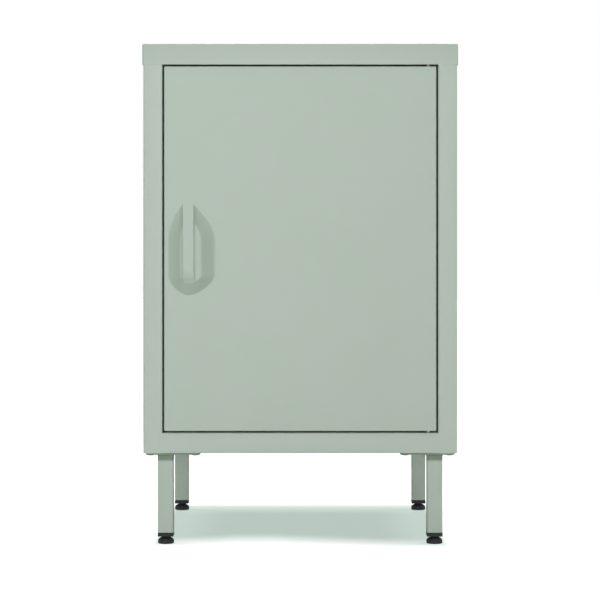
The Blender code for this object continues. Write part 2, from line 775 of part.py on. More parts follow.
def catch_housing():
    """Pegged to the back of the left post, with a nose that reaches forward to the door's lip."""
    seat = POST_BACK + SEAT_GAP
    low = catch_centre() - CATCH_LENGTH / 2
    high = catch_centre() + CATCH_LENGTH / 2
    nose_left = -DOOR_X
    base = block(
        (-(OPENING_X + CATCH_BASE_WIDTH), seat, low),
        (nose_left + CATCH_NOSE_WIDTH - JOINT_OVERLAP, seat + CATCH_DEPTH, high),
    )
    nose = block(
        (nose_left, DOOR_BACK + SEAT_GAP, low + CATCH_WALL),
        (nose_left + CATCH_NOSE_WIDTH, seat + CATCH_DEPTH - CATCH_WALL, high - CATCH_WALL),
    )
    peg_end = POST_BACK - SHEET - CUT_OVERRUN
    pegs = [
        moved(
            loft([circle(CATCH_PEG_RADIUS, y, SMALL_SIDES) for y in (peg_end, seat + CATCH_WALL)]),
            Matrix.Translation((x, 0, z)) @ Matrix.Rotation(-math.pi / 2, 4, "X"),
        )
        for x, z in catch_peg_places()
    ]
    return cut(joined(base, nose, *pegs), block(*magnet_box(SEAT_GAP)))


def door_bumper(z):
    """A rubber button on a stop, with its face against the back of the door."""
    x = BUMPER_FROM_EDGE - DOOR_X
    button = turned([(BUMPER_RADIUS, DOOR_BACK + SEAT_GAP), (BUMPER_RADIUS, STOP_Y - SEAT_GAP)], SMALL_SIDES)
    return moved(button, Matrix.Translation((x, 0, z)) @ Matrix.Rotation(-math.pi / 2, 4, "X"))


def leg():
    """A square tube welded under a corner plate, measured from the body's corner."""
    far = PLATE_MARGIN + PLATE_SIDE
    tip = PLATE_MARGIN + PLATE_TIP
    near = PLATE_MARGIN
    outline = [(near, near), (far, near), (far, tip), (tip, far), (near, far)]
    plate = loft([[(x, y, z) for x, y in outline] for z in (PLATE_BOTTOM, PLATE_TOP)])

    def square(half, z):
        low = LEG_CENTRE - half
        high = LEG_CENTRE + half
        return [(high, high, z), (low, high, z), (low, low, z), (high, low, z)]

    outer = LEG_SIDE / 2
    inner = outer - LEG_WALL
    weld = PLATE_BOTTOM + PLATE_THICKNESS / 2
    tube = loft(
        [
            square(outer, weld),
            square(outer, TUBE_BOTTOM),
            square(inner, TUBE_BOTTOM),
            square(inner, weld - LEG_WALL),
        ]
    )
    holes = [drill(x, y, BOLT_HOLE_RADIUS, PLATE_BOTTOM, PLATE_TOP) for x, y in BOLT_SPOTS.values()]
    return cut(joined(plate, tube), *holes)


def leg_bolt():
    """A low domed bolt, with its shank up through the plate, the floor and a weld nut."""
    rim = PLATE_BOTTOM - SEAT_GAP
    return turned(
        [
            (BOLT_RADIUS, rim - BOLT_HEAD_HEIGHT),
            ((BOLT_RADIUS + BOLT_HEAD_RADIUS) / 2, rim - BOLT_HEAD_HEIGHT * 3 / 4),
            (BOLT_HEAD_RADIUS, rim),
            (BOLT_RADIUS, rim),
            (BOLT_RADIUS, rim + BOLT_LENGTH),
        ],
        SMALL_SIDES,
    )


def lid_nut():
    """A nut on a lid stud, under the side panel's top flange."""
    top = BODY_TOP - SHEET - SEAT_GAP
    body = loft([circle(NUT_RADIUS, z, NUT_SIDES) for z in (top - NUT_HEIGHT, top)])
    return cut(body, drill(0, 0, LID_STUD_RADIUS + BOLT_GAP, top - NUT_HEIGHT, top))


def leg_plug():
    """A square plug whose bore holds the foot's stud."""
    low = PAD_HEIGHT + FOOT_NECK
    flange = low + PLUG_HEIGHT
    half = LEG_SIDE / 2
    tight = half - LEG_WALL - SEAT_GAP
    flange_block = block((-half, -half, low), (half, half, flange))
    insert = block((-tight, -tight, flange - SHEET), (tight, tight, flange + PLUG_INSERT))
    bore = drill(0, 0, STUD_RADIUS + STUD_GAP, low, flange + PLUG_INSERT)
    return cut(joined(flange_block, insert), bore)


def foot_pad():
    """A pad with a domed top and a blind hole for the stud."""
    hole = STUD_RADIUS + STUD_GAP
    return turned(
        [
            (PAD_RADIUS - PAD_FLOOR / 2, 0),
            (PAD_RADIUS, PAD_FLOOR / 2),
            (PAD_RADIUS, PAD_EDGE),
            ((PAD_RADIUS + hole) / 2, (PAD_EDGE + 2 * PAD_HEIGHT) / 3),
            (hole, PAD_HEIGHT),
            (hole, PAD_FLOOR),
        ]
    )


def foot_stud():
    """The threaded stud, long enough to stay in the plug when the foot is wound out."""
    top = PAD_HEIGHT + FOOT_NECK + FOOT_TRAVEL + PLUG_HEIGHT + STUD_ENGAGEMENT
    return turned([(STUD_RADIUS, PAD_FLOOR + SEAT_GAP), (STUD_RADIUS, top)])


def back_screw():
    """A low-headed screw, with its head towards +Y."""
    head = BODY_Y + SEAT_GAP
    screw = turned(
        [
            (SCREW_RADIUS, head - SCREW_LENGTH),
            (SCREW_RADIUS, head),
            (SCREW_HEAD_RADIUS, head),
            ((SCREW_RADIUS + SCREW_HEAD_RADIUS) / 2, head + SCREW_HEAD_HEIGHT),
        ],
        SMALL_SIDES,
    )
    return moved(screw, Matrix.Rotation(-math.pi / 2, 4, "X"))


def build_body(green, steel, black, rubber, ferrite):
    add("top_lid", top_lid(), green)
    add("side_panel_left", side_panel(-1), green)
    add("side_panel_right", side_panel(1), green)
    add("bottom_panel", bottom_panel(), green)
    add("back_panel", back_panel(), green)
    add("shelf_support_left", shelf_support(-1), green)
    add("shelf_support_right", shelf_support(1), green)
    add("hinge_pin_top", shifted(hinge_pin_top(), HINGE_X, HINGE_Y), steel)
    add("hinge_pin_bottom", shifted(hinge_pin_bottom(), HINGE_X, HINGE_Y), steel)
    add("catch_housing", catch_housing(), black)
    add("catch_magnet", block(*magnet_box()), ferrite)
    add("door_bumper_lower", door_bumper(RAIL_TOP + STOP_HEIGHT / 2), rubber)
    add("door_bumper_upper", door_bumper(LID_BOTTOM - STOP_HEIGHT / 2), rubber)
    nut_mesh = lid_nut()
    names = ("front_left", "front_right", "rear_left", "rear_right")
    for corner, (x, y) in zip(names, lid_stud_places()):
        place(f"lid_nut_{corner}", nut_mesh, steel, (x, y, 0))
    screw = back_screw()
    for spot, (x, z) in back_screw_places().items():
        place(f"back_screw_{spot}", screw, steel, (x, 0, z))


def build_door(green, nylon):
    axis = joint("door_hinge_axis", (HINGE_X, HINGE_Y, 0))
    add("door_skin", door_skin(), green, axis)
    add("handle_cup", handle_cup(), green, axis)
    add("door_stiffener", door_stiffener(), green, axis)
    add("hinge_bush_top", shifted(hinge_bush(DOOR_TOP, -1), HINGE_X, HINGE_Y), nylon, axis)
    add("hinge_bush_bottom", shifted(hinge_bush(DOOR_BOTTOM, 1), HINGE_X, HINGE_Y), nylon, axis)


def build_legs(green, steel, black):
    leg_mesh = leg()
    bolt_mesh = leg_bolt()
    plug_mesh = leg_plug()
    pad_mesh = foot_pad()
    stud_mesh = foot_stud()
    for corner, (side_x, side_y, quarter) in CORNERS.items():
        outer = (side_x * BODY_X, side_y * BODY_Y, 0)
        place(f"leg_{corner}", leg_mesh, green, outer, quarter * math.pi / 2)
        for spot, (x, y) in bolt_places(corner).items():
            place(f"leg_bolt_{corner}_{spot}", bolt_mesh, steel, (x, y, 0))
        x, y = corner_place(corner, LEG_CENTRE, LEG_CENTRE)
        place(f"leg_plug_{corner}", plug_mesh, black, (x, y, 0))
        slide = joint(f"foot_{corner}_axis", (x, y, 0))
        place(f"foot_pad_{corner}", pad_mesh, black, (x, y, 0), parent=slide)
        place(f"foot_stud_{corner}", stud_mesh, black, (x, y, 0), parent=slide)


def main():
    for leftover in list(bpy.data.objects):
        bpy.data.objects.remove(leftover)
    green = material("green_powder_coat", (0.45, 0.53, 0.46), 0.5)
    steel = material("zinc_steel", (0.62, 0.62, 0.60), 0.35, 1.0)
    black = material("black_plastic", (0.02, 0.02, 0.022), 0.45)
    nylon = material("white_nylon", (0.75, 0.75, 0.72), 0.5)
    rubber = material("black_rubber", (0.03, 0.03, 0.03), 0.8)
    ferrite = material("grey_ferrite", (0.10, 0.10, 0.11), 0.6)
    build_body(green, steel, black, rubber, ferrite)
    build_door(green, nylon)
    add("shelf", shelf(), green, joint("shelf_lift_axis", (0, 0, SHELF_TOP)))
    build_legs(green, steel, black)


main()
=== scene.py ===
import json
import math

import bmesh
import bpy
from mathutils import Matrix, Vector


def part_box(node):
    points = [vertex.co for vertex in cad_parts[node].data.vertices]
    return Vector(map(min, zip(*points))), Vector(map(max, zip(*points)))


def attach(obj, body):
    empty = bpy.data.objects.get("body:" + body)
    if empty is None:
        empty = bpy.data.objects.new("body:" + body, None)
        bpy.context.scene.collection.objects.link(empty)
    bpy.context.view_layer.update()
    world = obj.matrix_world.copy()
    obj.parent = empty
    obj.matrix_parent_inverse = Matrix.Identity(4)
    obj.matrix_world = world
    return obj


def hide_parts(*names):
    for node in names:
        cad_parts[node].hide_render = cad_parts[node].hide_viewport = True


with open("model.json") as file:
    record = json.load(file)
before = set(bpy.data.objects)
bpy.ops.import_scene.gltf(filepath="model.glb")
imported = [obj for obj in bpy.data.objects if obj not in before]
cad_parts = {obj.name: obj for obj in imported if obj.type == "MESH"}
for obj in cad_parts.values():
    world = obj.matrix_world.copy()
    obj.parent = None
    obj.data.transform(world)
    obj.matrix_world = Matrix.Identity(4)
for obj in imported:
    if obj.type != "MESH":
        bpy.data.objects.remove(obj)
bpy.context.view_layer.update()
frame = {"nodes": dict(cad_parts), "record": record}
mm = 0.001
corners = ("front_left", "front_right", "rear_right", "rear_left")
print("packed frame loaded")


def toLinear(hexColour):
    # sRGB hex, as a colour chart gives it, to the linear values that nodes use
    parts = [int(hexColour[i:i + 2], 16) / 255 for i in (1, 3, 5)]
    return tuple(p / 12.92 if p <= 0.04045 else ((p + 0.055) / 1.055) ** 2.4 for p in parts) + (1.0,)


def addNode(tree, kind, settings=None, inputs=None):
    # inputs are plain values, or the output of another node
    node = tree.nodes.new("ShaderNode" + kind)
    for key, value in (settings or {}).items():
        setattr(node, key, value)
    for key, value in (inputs or {}).items():
        if isinstance(value, bpy.types.NodeSocket):
            tree.links.new(value, node.inputs[key])
        else:
            node.inputs[key].default_value = value
    return node


def startMaterial(name, **shaderInputs):
    material = bpy.data.materials.new(name)
    material.use_nodes = True
    shader = material.node_tree.nodes["Principled BSDF"]
    for key, value in shaderInputs.items():
        shader.inputs[key.replace("_", " ")].default_value = value
    place = addNode(material.node_tree, "TexCoord").outputs["Object"]
    return material, material.node_tree, shader, place


def finishMesh(bm, name, sharpAngle=35):
    bmesh.ops.recalc_face_normals(bm, faces=bm.faces)
    mesh = bpy.data.meshes.new(name)
    bm.to_mesh(mesh)
    bm.free()
    mesh.shade_smooth()
    mesh.set_sharp_from_angle(angle=math.radians(sharpAngle))
    return mesh


def addPiece(name, mesh, material, body, replaced, at=(0, 0, 0), turn=0):
    if not mesh.materials:
        mesh.materials.append(material)
    piece = bpy.data.objects.new(name, mesh)
    bpy.context.scene.collection.objects.link(piece)
    piece.location = at
    piece.rotation_euler = (0, 0, turn)
    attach(piece, body)
    if replaced:
        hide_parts(*replaced)
    return piece


def joinRings(bm, rings, capStart=True, capEnd=True):
    # skins rings that have as many points each, and returns their vertices
    loops = [[bm.verts.new(point) for point in ring] for ring in rings]
    for low, high in zip(loops, loops[1:]):
        for i in range(len(low)):
            j = i - 1
            bm.faces.new((low[j], low[i], high[i], high[j]))
    if capStart:
        bm.faces.new(loops[0])
    if capEnd:
        bm.faces.new(loops[-1])
    return loops


def roundedRing(halfU, halfV, radius, steps):
    ring = []
    for quarter, (u, v) in enumerate(((1, 1), (-1, 1), (-1, -1), (1, -1))):
        for step in range(steps + 1):
            angle = math.pi / 2 * (quarter + step / steps)
            ring.append((u * (halfU - radius) + radius * math.cos(angle),
                         v * (halfV - radius) + radius * math.sin(angle)))
    return ring


def evenly(angle, steps):
    return [angle * i / steps for i in range(steps + 1)]


def lathe(name, profile, sides=40, sharpAngle=35):
    bm = bmesh.new()
    turns = evenly(2 * math.pi, sides)[:-1]
    joinRings(bm, [[(r * math.cos(a), r * math.sin(a), z) for a in turns] for r, z in profile])
    return finishMesh(bm, name, sharpAngle)


def carve(mesh, tools, operation):
    # joins the tools to the mesh or cuts them from it
    target = bpy.data.objects.new("target", mesh)
    bpy.context.scene.collection.objects.link(target)
    helpers = []
    for tool in tools:
        helper = bpy.data.objects.new("helper", tool)
        bpy.context.scene.collection.objects.link(helper)
        change = target.modifiers.new("carve", "BOOLEAN")
        change.operation = operation
        change.object = helper
        helpers.append(helper)
    graph = bpy.context.evaluated_depsgraph_get()
    result = bpy.data.meshes.new_from_object(target.evaluated_get(graph))
    for used in [target, *helpers]:
        bpy.data.objects.remove(used)
    return result


# Polyester powder coat on sheet steel, sprayed and baked: a satin film whose fine orange peel
# breaks up reflections, a shade paler where it draws thin over a fold
powderCoat = {"colour": "#B6C4B8", "thick": "#B1C0B3", "thin": "#C1CDC3", "roughness": (0.51, 0.60),
              "ior": 1.5, "mottle": 70 * mm, "peel": 1.6 * mm, "peelHeight": 0.012 * mm, "grit": 0.35 * mm,
              "gritEnds": (0.3, 0.7), "foldEnds": (0.52, 0.62), "foldShare": 0.6,
              # the slot and leg-top colours below are painted shade, not colours of the coat
              "slot": "#4A524C", "paintedShadeReach": 6 * mm, "paintedShadeEnds": (0.1, 0.5),
              "legTopShade": "#6D7D6B", "legTopShadeEnds": (99.0 * mm, 103.5 * mm)}


def makePowderCoat(name, topShade=False):
    material, tree, shader, place = startMaterial(name, IOR=powderCoat["ior"])
    mottle = addNode(tree, "TexNoise", inputs={
        "Vector": place, "Scale": 1 / powderCoat["mottle"], "Detail": 3.0})
    film = addNode(tree, "Mix", {"data_type": "RGBA"}, {
        0: mottle.outputs[0], 6: toLinear(powderCoat["thick"]), 7: toLinear(powderCoat["colour"])})
    fold = addNode(tree, "MapRange", inputs={
        "Value": addNode(tree, "NewGeometry").outputs["Pointiness"],
        "From Min": powderCoat["foldEnds"][0], "From Max": powderCoat["foldEnds"][1],
        "To Min": 0.0, "To Max": powderCoat["foldShare"]})
    worn = addNode(tree, "Mix", {"data_type": "RGBA"}, {
        0: fold.outputs[0], 6: film.outputs[2], 7: toLinear(powderCoat["thin"])})
    # painted shade: ambient occlusion darkens the coat in slots, gaps and hollows, such as the slot round
    # the door
    cavity = addNode(tree, "AmbientOcclusion", {"samples": 8}, {"Distance": powderCoat["paintedShadeReach"]})
    paintedSlotShade = addNode(tree, "MapRange", inputs={
        "Value": cavity.outputs["AO"],
        "From Min": powderCoat["paintedShadeEnds"][0], "From Max": powderCoat["paintedShadeEnds"][1]})
    coat = addNode(tree, "Mix", {"data_type": "RGBA"}, {
        0: paintedSlotShade.outputs[0], 6: toLinear(powderCoat["slot"]), 7: worn.outputs[2]})
    if topShade:
        # painted shade: the legs and their welds darken towards the top, where the body above shades them
        top = addNode(tree, "MapRange", {"interpolation_type": "SMOOTHSTEP"}, {
            "Value": addNode(tree, "SeparateXYZ", inputs={0: place}).outputs["Z"],
            "From Min": powderCoat["legTopShadeEnds"][0], "From Max": powderCoat["legTopShadeEnds"][1]})
        coat = addNode(tree, "Mix", {"data_type": "RGBA"}, {
            0: top.outputs[0], 6: coat.outputs[2], 7: toLinear(powderCoat["legTopShade"])})
    tree.links.new(coat.outputs[2], shader.inputs["Base Color"])
    grit = addNode(tree, "TexNoise", inputs={
        "Vector": place, "Scale": 1 / powderCoat["grit"], "Detail": 1.0})
    gloss = addNode(tree, "MapRange", inputs={
        "Value": grit.outputs[0],
        "From Min": powderCoat["gritEnds"][0], "From Max": powderCoat["gritEnds"][1],
        "To Min": powderCoat["roughness"][0], "To Max": powderCoat["roughness"][1]})
    tree.links.new(gloss.outputs[0], shader.inputs["Roughness"])
    # the real peel is about a millimetre across, drawn a little coarser so that it shows close up
    peel = addNode(tree, "TexNoise", inputs={
        "Vector": place, "Scale": 1 / powderCoat["peel"], "Detail": 2.0})
    bump = addNode(tree, "Bump", inputs={
        "Height": peel.outputs[0], "Strength": 1.0, "Distance": powderCoat["peelHeight"]})
    tree.links.new(bump.outputs[0], shader.inputs["Normal"])
    return material


# Zinc-plated steel, passivated: dull blue-grey metal with soft, cloudy reflections
zincPlate = {"bright": "#A2A6A4", "dull": "#7E8280", "roughness": (0.62, 0.44), "cloud": 2.5 * mm,
             "grain": 0.25 * mm, "grainHeight": 0.008 * mm}


def makeZincPlate():
    material, tree, shader, place = startMaterial("zinc-plated steel", Metallic=1.0)
    cloud = addNode(tree, "TexNoise", inputs={
        "Vector": place, "Scale": 1 / zincPlate["cloud"], "Detail": 4.0})
    tone = addNode(tree, "Mix", {"data_type": "RGBA"}, {
        0: cloud.outputs[0], 6: toLinear(zincPlate["dull"]), 7: toLinear(zincPlate["bright"])})
    tree.links.new(tone.outputs[2], shader.inputs["Base Color"])
    haze = addNode(tree, "MapRange", inputs={
        "Value": cloud.outputs[0],
        "To Min": zincPlate["roughness"][0], "To Max": zincPlate["roughness"][1]})
    tree.links.new(haze.outputs[0], shader.inputs["Roughness"])
    grain = addNode(tree, "TexNoise", inputs={"Vector": place, "Scale": 1 / zincPlate["grain"]})
    bump = addNode(tree, "Bump", inputs={
        "Height": grain.outputs[0], "Strength": 0.5, "Distance": zincPlate["grainHeight"]})
    tree.links.new(bump.outputs[0], shader.inputs["Normal"])
    return material


# scuffs on moulded goods: how many grains across, and how far the gloss strays
scuffing = {"size": 12, "smoother": 0.08, "rougher": 0.1}


def makeMoulded(name, colour, flecks, roughness, texture, height, ior):
    # the spark-eroded tool leaves an even grain, and scuffs are a shade paler
    material, tree, shader, place = startMaterial(name, IOR=ior)
    scuff = addNode(tree, "TexNoise", inputs={
        "Vector": place, "Scale": 1 / (scuffing["size"] * texture), "Detail": 5.0})
    tone = addNode(tree, "Mix", {"data_type": "RGBA"}, {
        0: scuff.outputs[0], 6: toLinear(colour), 7: toLinear(flecks)})
    tree.links.new(tone.outputs[2], shader.inputs["Base Color"])
    gloss = addNode(tree, "MapRange", inputs={
        "Value": scuff.outputs[0],
        "To Min": roughness - scuffing["smoother"], "To Max": roughness + scuffing["rougher"]})
    tree.links.new(gloss.outputs[0], shader.inputs["Roughness"])
    grain = addNode(tree, "TexNoise", inputs={"Vector": place, "Scale": 1 / texture, "Detail": 2.0})
    bump = addNode(tree, "Bump", inputs={"Height": grain.outputs[0], "Strength": 1.0, "Distance": height})
    tree.links.new(bump.outputs[0], shader.inputs["Normal"])
    return material


green = makePowderCoat("powder-coated steel")
# the legs' coat carries painted shade at the top, under the body
legGreenTopShade = makePowderCoat("powder-coated steel, shade painted at the leg tops", topShade=True)
zinc = makeZincPlate()
# glass-filled nylon: near black with a dry satin gleam
nylon = makeMoulded("glass-filled nylon", "#101214", "#1A1D1F", roughness=0.8, texture=0.4 * mm,
                    height=0.015 * mm, ior=1.53)
# acetal: white, close-grained and waxy
acetal = makeMoulded("acetal", "#DEDDD6", "#E8E7E1", roughness=0.35, texture=0.6 * mm,
                     height=0.004 * mm, ior=1.48)
# nitrile rubber: dull black that drinks the light
rubber = makeMoulded("nitrile rubber", "#19191A", "#222223", roughness=0.75, texture=0.3 * mm,
                     height=0.01 * mm, ior=1.52)
# sintered ferrite: a slate-grey ceramic with a ground face
ferrite = makeMoulded("sintered ferrite", "#3C3D40", "#4B4C4F", roughness=0.55, texture=0.2 * mm,
                      height=0.01 * mm, ior=1.6)
looks = {"green_powder_coat": green, "zinc_steel": zinc, "black_plastic": nylon, "white_nylon": acetal,
         "black_rubber": rubber, "grey_ferrite": ferrite}
print("materials made")


easing = {"sheetEdge": 0.22 * mm, "plug": 0.6 * mm, "nut": 0.3 * mm, "bumper": 0.5 * mm, "segments": 2,
          "weld": 0.01 * mm, "sharp": 40, "roundSegments": 5}
bodyOf = {node: body for body, members in frame["record"]["behaviour"]["bodies"].items() for node in members}
slotOf = {row["node"]: row["material_slot"] for row in frame["record"]["subparts"]}


def eased(node, width=easing["sheetEdge"], rounds=(), look=None):
    # rounds are pairs: a radius, and a test that picks the edges to round
    source = frame["nodes"][node].data
    bm = bmesh.new()
    verts = [bm.verts.new(vertex.co) for vertex in source.vertices]
    for face in source.polygons:
        bm.faces.new([verts[i] for i in face.vertices])
    bmesh.ops.remove_doubles(bm, verts=bm.verts, dist=easing["weld"])
    bmesh.ops.dissolve_limit(bm, angle_limit=math.radians(1), verts=bm.verts, edges=bm.edges)
    for radius, test in rounds:
        chosen = [edge for edge in bm.edges if test(*(v.co for v in edge.verts))]
        bmesh.ops.bevel(bm, geom=chosen, offset=radius, segments=easing["roundSegments"], profile=0.5,
                        affect="EDGES")
    mesh = finishMesh(bm, node + "_eased", easing["sharp"])
    slot = slotOf[node]
    piece = addPiece(node + "_eased", mesh, look or looks[slot], bodyOf[node], [node])
    soften = piece.modifiers.new("eased edges", "BEVEL")
    soften.width = width
    soften.segments = easing["segments"]
    soften.limit_method = "ANGLE"
    soften.angle_limit = math.radians(easing["sharp"])
    soften.harden_normals = True
    return piece


for node in ("top_lid", "side_panel_left", "side_panel_right", "bottom_panel", "back_panel", "shelf",
             "shelf_support_left", "shelf_support_right", "door_stiffener", "hinge_bush_top",
             "hinge_bush_bottom", "hinge_pin_top", "hinge_pin_bottom", "catch_housing", "catch_magnet"):
    eased(node)
for corner in corners:
    eased("leg_plug_" + corner, easing["plug"])
    eased("lid_nut_" + corner, easing["nut"])
for end in ("lower", "upper"):
    eased("door_bumper_" + end, easing["bumper"])
print("body, shelf and fittings eased")


door = {"sheet": 1.0 * mm, "foldRadius": 1.8 * mm, "cornerRadius": 2.2 * mm, "leastRadius": 0.3 * mm,
        "lip": 12.0 * mm, "steps": 6, "bushHole": 3.3 * mm, "bushHoleReach": 2 * mm}
# the almond that is pressed into the door, as half widths and lengths at its rim and at its floor
recess = {"fromEdge": 29.2 * mm, "fromBottom": 162.9 * mm, "depth": 11.5 * mm,
          "left": 26.1 * mm, "right": 34.3 * mm, "floorLeft": 9.4 * mm, "floorRight": 13.3 * mm,
          "topLeft": 52.5 * mm, "topRight": 47.5 * mm, "tip": 50.0 * mm, "floorTop": 25.5 * mm,
          "straight": 37.3 * mm, "bottom": 30.1 * mm, "floorBottom": 11.6 * mm,
          "bluntness": 1.2, "floorBluntness": 3.0, "toeRound": 0.15,
          "rimRadius": 7.4 * mm, "floorRadius": 6.2 * mm, "wallAngle": math.radians(36.0),
          "topCrisp": 0.8, "bottomCrisp": 0.5, "tipBend": 6,
          "steps": 26, "rollSteps": 8, "wallSteps": 4, "filletSteps": 6}
strap = {"width": 13.1 * mm, "edgeRadius": 0.35 * mm, "bend": 22.0 * mm, "slope": math.radians(45),
         "footAbove": 14.5 * mm, "sink": 0.02 * mm, "rootAbove": 3.0 * mm, "steps": 16}
doorLow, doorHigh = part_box("door_skin")
front = doorLow.y
handleX = doorLow.x + recess["fromEdge"]
recessBottom = doorLow.z + recess["fromBottom"]


def recessProfile():
    # how far in, how deep and how steep, from rim to floor: a roll, a straight wall and a fillet
    rim, fillet, angle = recess["rimRadius"], recess["floorRadius"], recess["wallAngle"]
    points = [(rim * math.sin(a), rim * (1 - math.cos(a)), a) for a in evenly(angle, recess["rollSteps"])]
    wall = (recess["depth"] - (rim + fillet) * (1 - math.cos(angle))) / math.sin(angle)
    reach, depth = points[-1][:2]
    points += [(reach + part * math.cos(angle), depth + part * math.sin(angle), angle)
               for part in evenly(wall, recess["wallSteps"])[1:]]
    run = points[-1][0] + fillet * math.sin(angle)
    points += [(run - fillet * math.sin(a), recess["depth"] - fillet * (1 - math.cos(a)), a)
               for a in evenly(angle, recess["filletSteps"])[-2::-1]]
    return run, points


def almond(share, depth, rollShare):
    # one level of the recess, from its rim at share 0 to its floor at share 1
    low = recessBottom + recess["bottom"]
    high = low + recess["straight"]
    steps = recess["steps"]
    soft = math.hypot(1, recess["toeRound"])
    tipLoss = recess["toeRound"] / soft

    def between(rim, floor, crisp):
        # the rolled rim is narrower towards the tips, by crisp
        if share < rollShare:
            own = share * crisp
        else:
            own = rollShare * crisp + (share - rollShare) / (1 - rollShare) * (1 - rollShare * crisp)
        return rim + (floor - rim) * own

    def half(side):
        rim, floor, top = recess[side.lower()], recess["floor" + side], recess["top" + side]
        points = []
        for i in range(steps, 0, -1):
            t = i / steps
            bow = math.cos(math.pi / 2 * t)
            crisp = 1 - recess["topCrisp"] * t * t
            rise = (top + (recess["tip"] - top) * t ** recess["tipBend"]) * t
            points.append((between(rim * bow, floor * bow, crisp),
                           high + between(rise, recess["floorTop"] * t, crisp)))
        points += [(between(rim, floor, 1), high - part)
                   for part in evenly(recess["straight"], recess["wallSteps"])[:-1]]
        for i in range(steps + 1):
            t = i / steps
            crisp = 1 - recess["bottomCrisp"] * t
            drop = (1 - math.hypot(1 - t, recess["toeRound"]) / soft) / (1 - tipLoss)
            points.append((between(rim * math.cos(math.pi / 2 * t ** recess["bluntness"]),
                                   floor * math.cos(math.pi / 2 * t ** recess["floorBluntness"]), crisp),
                           low - between(recess["bottom"] * drop, recess["floorBottom"] * drop, crisp)))
        return points

    ring = [(handleX - x, z) for x, z in half("Left")]
    ring += [(handleX + x, z) for x, z in half("Right")[-2:0:-1]]
    return [(x, front + depth, z) for x, z in ring]


def doorSheet():
    sheet, fold = door["sheet"], door["foldRadius"]
    middleX, middleZ = (doorLow.x + doorHigh.x) / 2, (doorLow.z + doorHigh.z) / 2
    halfX, halfZ = (doorHigh.x - doorLow.x) / 2, (doorHigh.z - doorLow.z) / 2
    back = doorHigh.y

    def ring(inset, y, radius):
        outline = roundedRing(halfX - inset, halfZ - inset, radius, door["steps"])
        return [(middleX + u, y, middleZ + v) for u, v in outline]

    outer = evenly(math.pi / 2, door["steps"])
    pan = [ring(fold * (1 - math.sin(a)), front + fold * (1 - math.cos(a)),
                max(door["cornerRadius"] - fold * (1 - math.sin(a)), door["leastRadius"])) for a in outer]
    pan += [ring(0, back, door["cornerRadius"]), ring(door["lip"], back, door["cornerRadius"]),
            ring(door["lip"], back - sheet, door["cornerRadius"]),
            ring(sheet, back - sheet, door["cornerRadius"] - sheet)]
    inner = fold - sheet
    pan += [ring(sheet + inner * (1 - math.sin(a)), front + sheet + inner * (1 - math.cos(a)),
                 door["cornerRadius"] - sheet) for a in reversed(outer)]
    bm = bmesh.new()
    panLoops = joinRings(bm, pan, capStart=False, capEnd=False)
    run, profile = recessProfile()
    rollShare = profile[recess["rollSteps"]][0] / run
    face = joinRings(bm, [almond(x / run, depth, rollShare) for x, depth, _ in profile],
                     capStart=False)
    behind = joinRings(bm, [almond((x - sheet * math.sin(a)) / run, depth + sheet * math.cos(a), rollShare)
                            for x, depth, a in profile], capStart=False)
    # the flat of the sheet lies between the pan's fold and the rim of the recess, in front and behind
    for outline, hole in ((panLoops[0], face[0]), (panLoops[-1], behind[0])):
        edges = [bm.edges.get((loop[i - 1], loop[i])) for loop in (outline, hole) for i in range(len(loop))]
        bmesh.ops.triangle_fill(bm, edges=edges, use_beauty=True)
    bmesh.ops.recalc_face_normals(bm, faces=bm.faces)
    mesh = bpy.data.meshes.new("door_sheet")
    bm.to_mesh(mesh)
    bm.free()
    return mesh


def strapSheet():
    # the strap runs down flush with the door, then bends in to the foot of the recess
    sheet, radius, slope = door["sheet"], strap["bend"], strap["slope"]
    start = front + strap["sink"]
    foot = recessBottom + strap["footAbove"]
    reach = recess["depth"]
    bendTop = foot + reach / math.tan(slope) + radius * math.tan(slope / 2)
    root = recessBottom + recess["bottom"] + recess["straight"] + recess["tip"] + strap["rootAbove"]
    path = [((start, root), (0, 1))]
    for angle in evenly(slope, strap["steps"]):
        path.append(((start + radius * (1 - math.cos(angle)), bendTop - radius * math.sin(angle)),
                     (math.sin(angle), math.cos(angle))))
    over = sheet / 2 / math.sin(slope)
    path.append(((front + reach + over * math.sin(slope), foot - over * math.cos(slope)),
                 (math.sin(slope), math.cos(slope))))
    bm = bmesh.new()
    section = roundedRing(strap["width"] / 2, sheet / 2, strap["edgeRadius"], 4)
    # each section stands across the strap's way, with its outer face on the path
    joinRings(bm, [[(handleX + u, y + (sheet / 2 + v) * dz, z + (sheet / 2 + v) * dy) for u, v in section]
                   for (y, z), (dy, dz) in path])
    bmesh.ops.recalc_face_normals(bm, faces=bm.faces)
    mesh = bpy.data.meshes.new("strap_sheet")
    bm.to_mesh(mesh)
    bm.free()
    return mesh


def bushHole(z):
    low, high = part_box("hinge_bush_top")
    x, y = (low.x + high.x) / 2, (low.y + high.y) / 2
    bm = bmesh.new()
    radius, reach = door["bushHole"], door["bushHoleReach"]
    turns = evenly(2 * math.pi, 32)[:-1]
    joinRings(bm, [[(x + radius * math.cos(a), y + radius * math.sin(a), level) for a in turns]
                   for level in (z - reach, z + reach)])
    return finishMesh(bm, "bush_hole")


def makeDoor():
    whole = carve(doorSheet(), [strapSheet()], "UNION")
    whole = carve(whole, [bushHole(doorLow.z), bushHole(doorHigh.z)], "DIFFERENCE")
    whole.name = "door_pressed"
    whole.shade_smooth()
    whole.set_sharp_from_angle(angle=math.radians(35))
    whole.materials.clear()
    piece = addPiece("door_pressed", whole, green, "door", ["door_skin", "handle_cup"])
    flats = piece.modifiers.new("flat faces", "WEIGHTED_NORMAL")
    flats.keep_sharp = True


makeDoor()
print("door pressed")


# the ends of the front rail are welded to the stiles and dressed almost flush
seam = {"below": 0.12 * mm, "depth": 1.0 * mm, "gap": 1.8 * mm, "lap": 1.9 * mm, "tuck": 0.35 * mm,
        "short": 0.9 * mm, "ease": 0.08 * mm}


